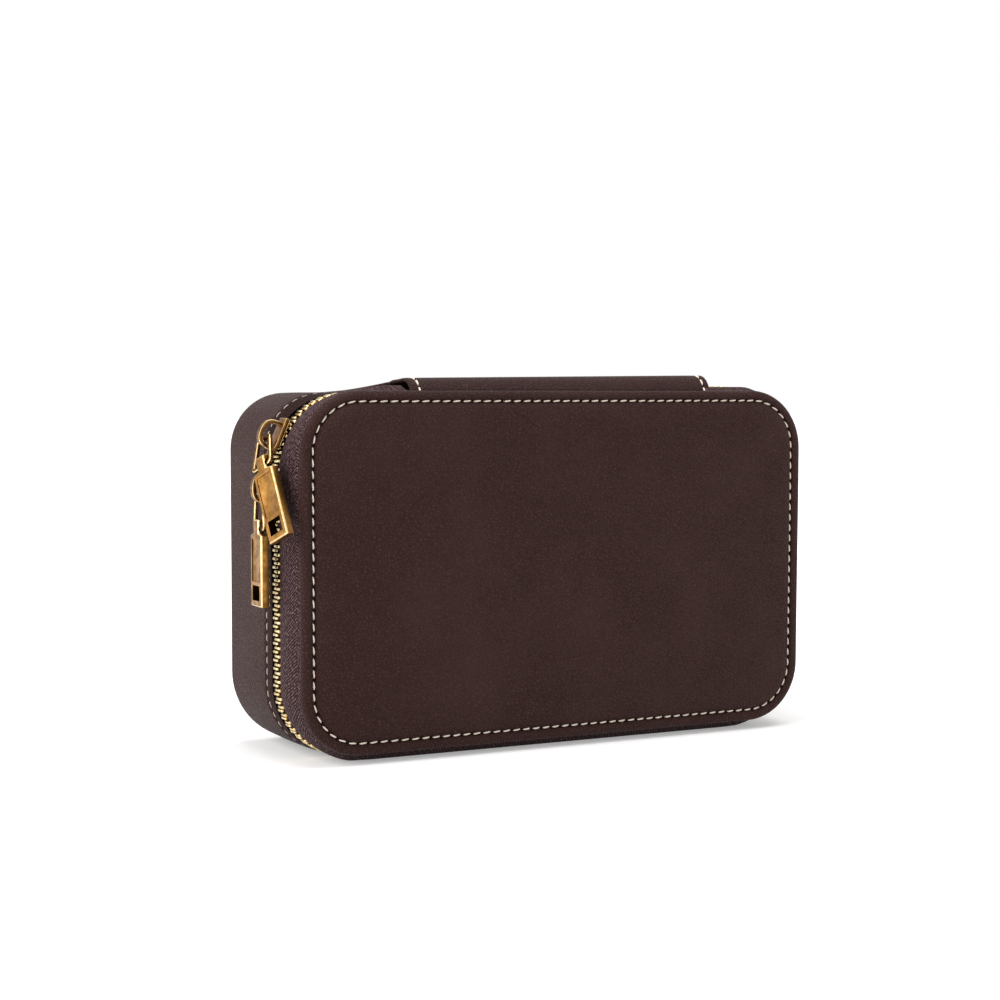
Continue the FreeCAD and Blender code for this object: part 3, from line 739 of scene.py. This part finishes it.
# Lid pocket: a loose velvet pocket sewn to the lining at its sides and bottom, and gathered under an elastic.
# The gathers are deep under the elastic and die out towards the bottom seam.
pocket_half, pocket_low, pocket_top, pocket_cloth = 64.0, 12.0, 66.0, 0.5
columns, lines = 192, 30
grid, faces = [], []
for i in range(lines + 1):
    v = i / lines
    full = 1 - (1 - smooth(0.0, 0.45, v)) ** 2
    full *= 0.62 + 0.38 * math.cos(math.pi * smooth(0.35, 1.0, v) / 1.9)
    for j in range(columns + 1):
        u = 2 * j / columns - 1
        gather = 0.5 * math.sin(46 * u + 1.7 * noise.noise(Vector((u * 9, v, 2)))) * smooth(0.25, 1.0, v)
        slack = 0.35 * noise.noise(Vector((u * 7, v * 3, 5)))
        rise = 0.35 + (1 - abs(u) ** 6) * smooth(0, 0.12, v) * (2.9 * full + gather + slack)
        grid.append((u * (pocket_half - 5 * v * v), lid_floor_y + max(rise, 0.3),
                     pocket_low + (pocket_top - pocket_low) * v))
for i in range(lines):
    start = i * (columns + 1)
    faces += [(k, k + 1, k + columns + 2, k + columns + 1) for k in range(start, start + columns)]
mesh = bpy.data.meshes.new("pocket_cloth")
mesh.from_pydata([Vector(p) * MM for p in grid], [], faces)
mesh.shade_smooth()
cloth = placed("pocket_cloth", mesh)
modifier = cloth.modifiers.new("cloth", "SOLIDIFY")
modifier.thickness = pocket_cloth * MM
modifier.offset = -1.0
mesh = closed_up(settled(cloth, "lid_gathered_pocket"))
pocket = piece(mesh, [velvet], "lid", "velvet", "lid_pocket")

# Pocket elastic: flat elastic in a ruched velvet casing along the pocket's mouth.
# It is sewn to the lining at both ends, and its tension draws the gathers in.
elastic_half, elastic_z, elastic_height, elastic_depth = 59, 68, 1.85, 1.15
elastic_stations, elastic_sides = 240, 14
rows = []
for j in range(elastic_stations + 1):
    u = 2 * j / elastic_stations - 1
    ruche = 0.28 * math.sin(58 * u + 1.5 * noise.noise(Vector((u * 8, 1, 7))))
    ring = []
    for k in range(elastic_sides):
        a = math.tau * k / elastic_sides
        out = 1.2 + elastic_depth * math.cos(a) + ruche * (1 + math.cos(a)) / 2
        ring.append((elastic_half * u, lid_floor_y + max(out, 0.08),
                     elastic_z + (elastic_height + 0.35 * ruche) * math.sin(a)))
    rows.append(ring)
mesh = closed_up(capped(skin("pocket_ruched_elastic", rows)))
piece(mesh, [velvet], "lid", "velvet", "pocket_elastic")

# Necklace tabs: three leather tabs sewn to the lid's lining, each with a snap that closes round a chain.
# Their edges are cut, rounded and creased with a line just inside.
tab_places, tab_half, tab_low, tab_high = (-48.0, 0.0, 48.0), 6.0, 78.2, 102.2
tab_middle, tab_reach = (tab_low + tab_high) / 2, (tab_high - tab_low) / 2
tab_levels = ((0.06, 0.0), (1.15, 0.0), (1.5, 0.12), (1.6, 0.45),
              (1.45, 0.75), (1.42, 1.1), (1.6, 1.5), (1.6, 3.0))
turns = [math.radians(a) for a in range(180, 361, 12)]
rounded_end = [(tab_half * math.cos(a), tab_half * (1 + math.sin(a)) - tab_reach) for a in turns]
outline = [(-tab_half, tab_reach)] + rounded_end + [(tab_half, tab_reach)]
work = bmesh.new()
for x in tab_places:
    levels = []
    for y, shrink in tab_levels:
        narrow, short = 1 - shrink / tab_half, 1 - shrink / tab_reach
        levels.append([(x + px * narrow, lid_floor_y + y, tab_middle + pz * short) for px, pz in outline])
    stacked(work, levels)
mesh = closed_up(mesh_of(work, "necklace_leather_tabs"), 50)
piece(mesh, [shell_leather], "lid", "shell_leather", "necklace_tabs")

# Tab snaps: pressed brass caps with a rolled edge and a low dome, one on each tab.
# Each is riveted through the tab's rounded end.
cap = [(4.0, 0.0), (4.0, 0.5), (3.85, 0.85), (3.5, 1.0), (3.15, 0.9),
       (2.95, 0.75), (2.6, 0.85), (1.8, 1.2), (0.9, 1.38), (0.0, 1.4)]
cap_y, cap_z = -32.4, 83.2
turns = [math.tau * k / 32 for k in range(32)]
work = bmesh.new()
for x in tab_places:
    stacked(work, [[(x + r * math.cos(a), cap_y + h, cap_z + r * math.sin(a)) for a in turns]
                   for r, h in cap])
mesh = closed_up(mesh_of(work, "snap_caps"))
piece(mesh, [tooth_brass], "lid", "aged_brass", "tab_snaps")

# Hinge strap: a wide leather strap sewn to the base's top and the lid's edge, arched over the zip's open end.
# A row of stitches in a sunk line holds each folded end.
strap_outer = [(-6.3, 110.3), (-9.0, 110.45), (-12.0, 110.9), (-14.5, 111.6), (-16.5, 112.2),
               (-18.5, 112.7), (-20.8, 113.1), (-23.2, 113.5), (-25.5, 113.75), (-27.5, 113.8),
               (-29.2, 113.4), (-30.6, 112.6), (-31.8, 111.35), (-32.8, 109.9)]


def strap_section(x, drop):
    """The strap's arched line at a depth under its face.

    Its left end rides up on the rim, and it stands higher to the right."""
    section = []
    for i, (y, z) in enumerate(strap_outer):
        ahead, behind = strap_outer[min(i + 1, len(strap_outer) - 1)], strap_outer[max(i - 1, 0)]
        slope = Vector((ahead[0] - behind[0], ahead[1] - behind[1])).normalized()
        stand = (0.0115 * (x - strap_left) - 0.35) * max(z - 110, 0) / 4
        ridden = 0.45 * smooth(-8.5, -13.5, y) * smooth(-23.5, -18.0, y)
        ridden *= smooth(strap_left + 13, strap_left + 7, x)
        section.append((x, y - slope.y * drop, z + slope.x * drop + stand + ridden))
    return section


left_seam, right_seam, right_edge = strap_left + 3.0, strap_right - 1.0, strap_right + 1.4
strap_wall, strap_steps = 1.3, 24
sunk_line = ((-0.7, 0.02), (-0.3, 0.24), (0.0, 0.34), (0.3, 0.24), (0.7, 0.02))
rolled_end = ((0.0, 0.62, 0.68), (0.12, 0.3, 0.95), (0.4, 0.08, 1.2))
between = right_seam - left_seam - 8
marks = [(strap_left + shift, sink, under) for shift, sink, under in rolled_end]
marks.append((strap_left + 1.0, 0.0, strap_wall))
marks += [(left_seam + shift, sink, strap_wall) for shift, sink in sunk_line]
marks += [(left_seam + 4 + between * i / strap_steps, 0.0, strap_wall) for i in range(strap_steps + 1)]
marks += [(right_seam + shift, sink, strap_wall) for shift, sink in sunk_line]
marks += [(right_edge - shift, sink, under) for shift, sink, under in reversed(rolled_end)]
rows = [strap_section(x, sink) + strap_section(x, under)[::-1] for x, sink, under in marks]
mesh = closed_up(capped(skin("strap_leather", rows)), 60)
strap = placed("strap_leather", mesh)
mesh.materials.append(shell_leather)
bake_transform(strap)
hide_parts("hinge_strap")

# Strap stitches: the same cream thread, in a row across the strap near each end.
# They lie in the sunk lines and follow the strap's arch.
strap_stitch_count = 10
work = bmesh.new()
for x in (left_seam, right_seam):
    row = row_mesh("strap_row", across_row, strap_section(x, 0.12), False, stitch_mesh(2.5, 0.6, 0.4),
                   strap_stitch_count, (1, 0, 0), 0, lid_thread)
    work.from_mesh(row)
mesh = mesh_of(work, "strap_stitches")
mesh.materials.append(lid_thread)
mesh.shade_smooth()
stitches = placed("strap_stitches", mesh)
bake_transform(stitches)

# Sliders: cast brass plates on the outside and the inside of the zip, with an arched crown that holds a ring.
# Both sliders meet nose to nose at the upper left corner, one on the corner and one below it.
aged_brass = brass("antique_brass", "#9c713a", "#6c4b22", 0.32, 0.16, 2.6)
# Bright edge brass: partly rubbed wear, partly a painted highlight on the bevels.
worn_and_highlight_brass = brass("antique_brass_worn_edge", "#eed6a6", "#cda768", 0.24, 0.1, 1.5)
plate_brass = brass("antique_brass_plate", "#90602a", "#5f3f1a", 0.34, 0.16, 2.2)
shaded_brass = brass("antique_brass_shaded", "#7a5628", "#452e13", 0.36, 0.16, 2.0)
dark_brass = brass("antique_brass_recess", "#2c1b0c", "#140b04", 0.5, 0.2, 1.8)
joint_places = {joint["name"]: Vector(joint["pos_m"]) for joint in frame["joints"] if "pos_m" in joint}
upper_turn, lower_slider_z = 24.5, 81.1
slider_half = [(2.6, 6.0), (3.1, -2.4), (1.2, -6.0)]
slider_outline = slider_half + [(-y, z) for y, z in reversed(slider_half)]
flange = [(2.6, 6.0), (3.1, -2.4), (2.5, -2.4), (2.0, 6.0)]
plate_low, plate_high, crown_half, crown_steps = 1.65, 2.85, 1.0, 18
slider_places = {
    "upper": Matrix.Translation(joint_places["upper_slider_travel"])
    @ Matrix.Rotation(math.radians(upper_turn - 180), 4, "Y")
    @ Matrix.Translation(Vector((chain_radius, 0, 0)) * MM) @ Matrix.Rotation(math.pi, 4, "X"),
    "lower": Matrix.Translation(Vector((-chain_width / 2, zip_y, lower_slider_z)) * MM)
    @ Matrix.Rotation(math.pi, 4, "Y")}


def plate(work, outline, *depths):
    """A flat plate with an outline in Y and Z, between two depths."""
    stacked(work, [[(x, y, z) for y, z in outline] for x in depths])


def worn_highlight_edges(work, width):
    """Rounds every sharp edge, and gives the rounding the bright edge colour: rubbed wear and a painted
    highlight.
    """
    bmesh.ops.recalc_face_normals(work, faces=work.faces)
    sharp = [e for e in work.edges if len(e.link_faces) == 2 and e.calc_face_angle() > 0.6]
    bmesh.ops.bevel(work, geom=sharp, offset=width * MM, segments=2, profile=0.5, affect="EDGES",
                    clamp_overlap=True, material=1)


def crown_mesh():
    """The crown: a squarish arch of flat bar that stands on the plate, let into it a little at both feet."""
    work = bmesh.new()
    arcs = []
    for span, height in ((9.0, 5.4), (6.6, 4.2)):
        turns = [math.pi * (k / crown_steps - 0.5) for k in range(crown_steps + 1)]
        arcs.append([(plate_high + height * max(math.cos(a), 0) ** 0.72,
                      span / 2 * math.copysign(abs(math.sin(a)) ** 0.72, a)) for a in turns])
        arcs[-1][0] = (arcs[-1][0][0] - 0.2, arcs[-1][0][1])
        arcs[-1][-1] = (arcs[-1][-1][0] - 0.2, arcs[-1][-1][1])
    loops = [[work.verts.new(Vector((x, y, z)) * MM) for x, z in arc]
             for y in (-crown_half, crown_half) for arc in arcs]
    for k in range(crown_steps):
        for a, b in ((0, 1), (1, 3), (3, 2), (2, 0)):
            work.faces.new((loops[a][k], loops[a][k + 1], loops[b][k + 1], loops[b][k]))
    for k in (0, crown_steps):
        work.faces.new([loops[i][k] for i in (0, 1, 3, 2)])
    for face in work.faces:
        face.material_index = 2
    worn_highlight_edges(work, 0.2)
    return mesh_of(work, "crown")


for name, place in slider_places.items():
    body = name + "_slider"
    work = bmesh.new()
    plate(work, slider_outline, plate_low, plate_high)
    for side in (-1, 1):
        plate(work, [(side * y, z) for y, z in flange], 1.45, 1.66)
    worn_highlight_edges(work, 0.25)
    work.from_mesh(crown_mesh())
    mesh = mesh_of(work, body + "_body")
    mesh.transform(place)
    piece(closed_up(mesh, 40), [plate_brass, worn_and_highlight_brass, shaded_brass], body, "aged_brass", body)
    work = bmesh.new()
    plate(work, slider_outline, -3.5, -2.4)
    worn_highlight_edges(work, 0.3)
    mesh = mesh_of(work, body + "_inner_plate")
    mesh.transform(place)
    piece(closed_up(mesh, 40), [aged_brass, worn_and_highlight_brass], body, "aged_brass", body + "_back_plate")

# Rings: flat brass links that join each slider's crown to its pull.
# Each is square bar with softened edges, bent to a rounded link that is wider at the pull.
ring_corners = ((1.97, -1.0, 90, 7.1), (2.92, -8.6, 7.1, -90),
                (-2.92, -8.6, -90, -187.1), (-1.97, -1.0, -187.1, -270))
ring_bend, ring_steps = 1.0, 8
bar = ((0.65, -0.4), (0.65, 0.4), (0.4, 0.65), (-0.4, 0.65),
       (-0.65, 0.4), (-0.65, -0.4), (-0.4, -0.65), (0.4, -0.65))


def hung(joint, lean, sway, twist):
    """The pose of a ring or pull about its joint."""
    turns = Matrix.Rotation(math.radians(twist), 4, "Z") @ Matrix.Rotation(math.radians(sway), 4, "X")
    return Matrix.Translation(joint_places[joint]) @ turns @ Matrix.Rotation(math.radians(lean), 4, "Y")


ring_poses = {"upper": hung("upper_ring_swing", 24.0, -25.0, 20.0),
              "lower": hung("lower_ring_swing", 0, 0, 0)}
for name, pose in ring_poses.items():
    rows = []
    for cy, cz, first, last in ring_corners:
        for i in range(ring_steps + 1):
            a = math.radians(first + (last - first) * i / ring_steps)
            rows.append([(side, cy + (ring_bend + out) * math.cos(a), cz + (ring_bend + out) * math.sin(a))
                         for out, side in bar])
    mesh = skin(name + "_link", rows, True)
    # The flats take the painted shade brass, and the softened corners take the bright brass, which is wear
    # and a painted highlight.
    for face in mesh.polygons:
        face.material_index = face.index % 2
    mesh.set_sharp_from_angle(angle=math.radians(40))
    mesh.transform(pose)
    piece(mesh, [shaded_brass, worn_and_highlight_brass], name + "_ring", "aged_brass", name + "_ring")

# Pulls: thick antique brass blocks with a window at the lower end and a plain sunk panel above it.
# The bevelled edges are coloured bright, partly rubbed wear and partly a painted highlight, and the sunk
# faces keep their dark patina.
pull_poses = {"upper": hung("upper_pull_swing", 4.5, -25.0, 20.0),
              "lower": hung("lower_pull_swing", 0, 0, 0)}
sunk_half, sunk_low, sunk_high = 3.3, -21.3, -3.1
eye_half, eye_low, eye_radius = 1.9, -1.4, 1.25
for name, pose in pull_poses.items():
    mesh = frame["nodes"][name + "_pull"].data.copy()
    mesh.name = name + "_pull_block"
    mesh.transform(pose.inverted())
    work = bmesh.new()
    work.from_mesh(mesh)
    bmesh.ops.remove_doubles(work, verts=work.verts, dist=2e-6)
    bmesh.ops.dissolve_limit(work, angle_limit=math.radians(1.5), verts=work.verts, edges=work.edges)
    for face in work.faces:
        spot, facing = face.calc_center_median() / MM, face.normal
        aslant = max(abs(c) for c in facing) < 0.95
        sunk = abs(spot.y) < sunk_half and sunk_low < spot.z < sunk_high and abs(facing.x) < 0.5
        near_eye = abs(spot.y) < eye_half and spot.z > eye_low and math.hypot(spot.x, spot.z) < eye_radius
        dark = sunk or (near_eye and abs(facing.y) < 0.2)
        face.material_index = 2 if dark else 1 if aslant else 0
    sharp = [e for e in work.edges if len(e.link_faces) == 2 and e.calc_face_angle() > 0.5]
    bmesh.ops.bevel(work, geom=sharp, offset=0.1 * MM, segments=2, profile=0.5, affect="EDGES",
                    clamp_overlap=True, material=-1)
    work.to_mesh(mesh)
    work.free()
    mesh.transform(pose)
    finishes = [aged_brass, worn_and_highlight_brass, dark_brass]
    piece(closed_up(mesh, 30), finishes, name + "_pull", "aged_brass", name + "_pull")

# Stage: a plain white floor and room under soft studio light, with a camera at the photograph's angle.
# Floor and room reach full white only where they are seen, so they light the case less than the lamps do.


def seen_rays(tree):
    """1 for rays from the camera, and for those sent on by a shiny or a clear surface."""
    rays = add(tree, "ShaderNodeLightPath").outputs
    mirrored = worked(tree, "MAXIMUM", rays["Is Camera Ray"], rays["Is Glossy Ray"])
    return worked(tree, "MAXIMUM", mirrored, rays["Is Transmission Ray"])


floor_finish, tree, shader = new_finish("white_floor", {
    "Base Color": colour("#f2f1f0"), "Roughness": 0.9, "Specular IOR Level": 0.1,
    "Emission Color": colour("#ffffff")})
place = add(tree, "ShaderNodeTexCoord").outputs["Object"]
away = add(tree, "ShaderNodeVectorMath", {0: place}, operation="LENGTH")
far = mapped(tree, away.outputs[1], 0.12, 0.7, 0.3, 1.0, interpolation_type="SMOOTHSTEP")
glow = worked(tree, "MULTIPLY", seen_rays(tree), far)
tree.links.new(glow, shader.inputs["Emission Strength"])
floor_half = 8
mesh = bpy.data.meshes.new("floor")
mesh.from_pydata([(x * floor_half, y * floor_half, 0) for x, y in ((-1, -1), (1, -1), (1, 1), (-1, 1))],
                 [], [(0, 1, 2, 3)])
mesh.materials.append(floor_finish)
placed("floor", mesh)

world = bpy.data.worlds.new("white_room")
bpy.context.scene.world = world
world.use_nodes = True
tree = world.node_tree
level = mapped(tree, seen_rays(tree), 0.0, 1.0, 0.45, 1.0)
tree.nodes["Background"].inputs["Color"].default_value = colour("#ffffff")
tree.links.new(level, tree.nodes["Background"].inputs["Strength"])

lamp_aim = Vector((0, 0, 0.05))
for name, at, size, power in (("left_softbox", (-1.0, -0.1, 0.5), 1.1, 11.0),
                              ("top_softbox", (0.1, -0.1, 1.2), 0.9, 9.0),
                              ("front_fill", (0.3, -1.3, 0.5), 0.8, 2.5)):
    lamp = bpy.data.lights.new(name, "AREA")
    lamp.size = size
    lamp.energy = power
    light = placed(name, lamp)
    light.location = at
    light.rotation_euler = (lamp_aim - Vector(at)).to_track_quat("-Z", "Y").to_euler()

camera = placed("camera", bpy.data.cameras.new("camera"))
camera.location = (-0.2967, -0.5668, 0.1087)
camera.rotation_euler = (math.radians(86.925), 0, math.radians(-27.371))
camera.data.sensor_width = 36.0
camera.data.lens = 71.21
camera.data.clip_start = 0.01
bpy.context.scene.camera = camera
bpy.context.scene.view_settings.view_transform = "Standard"
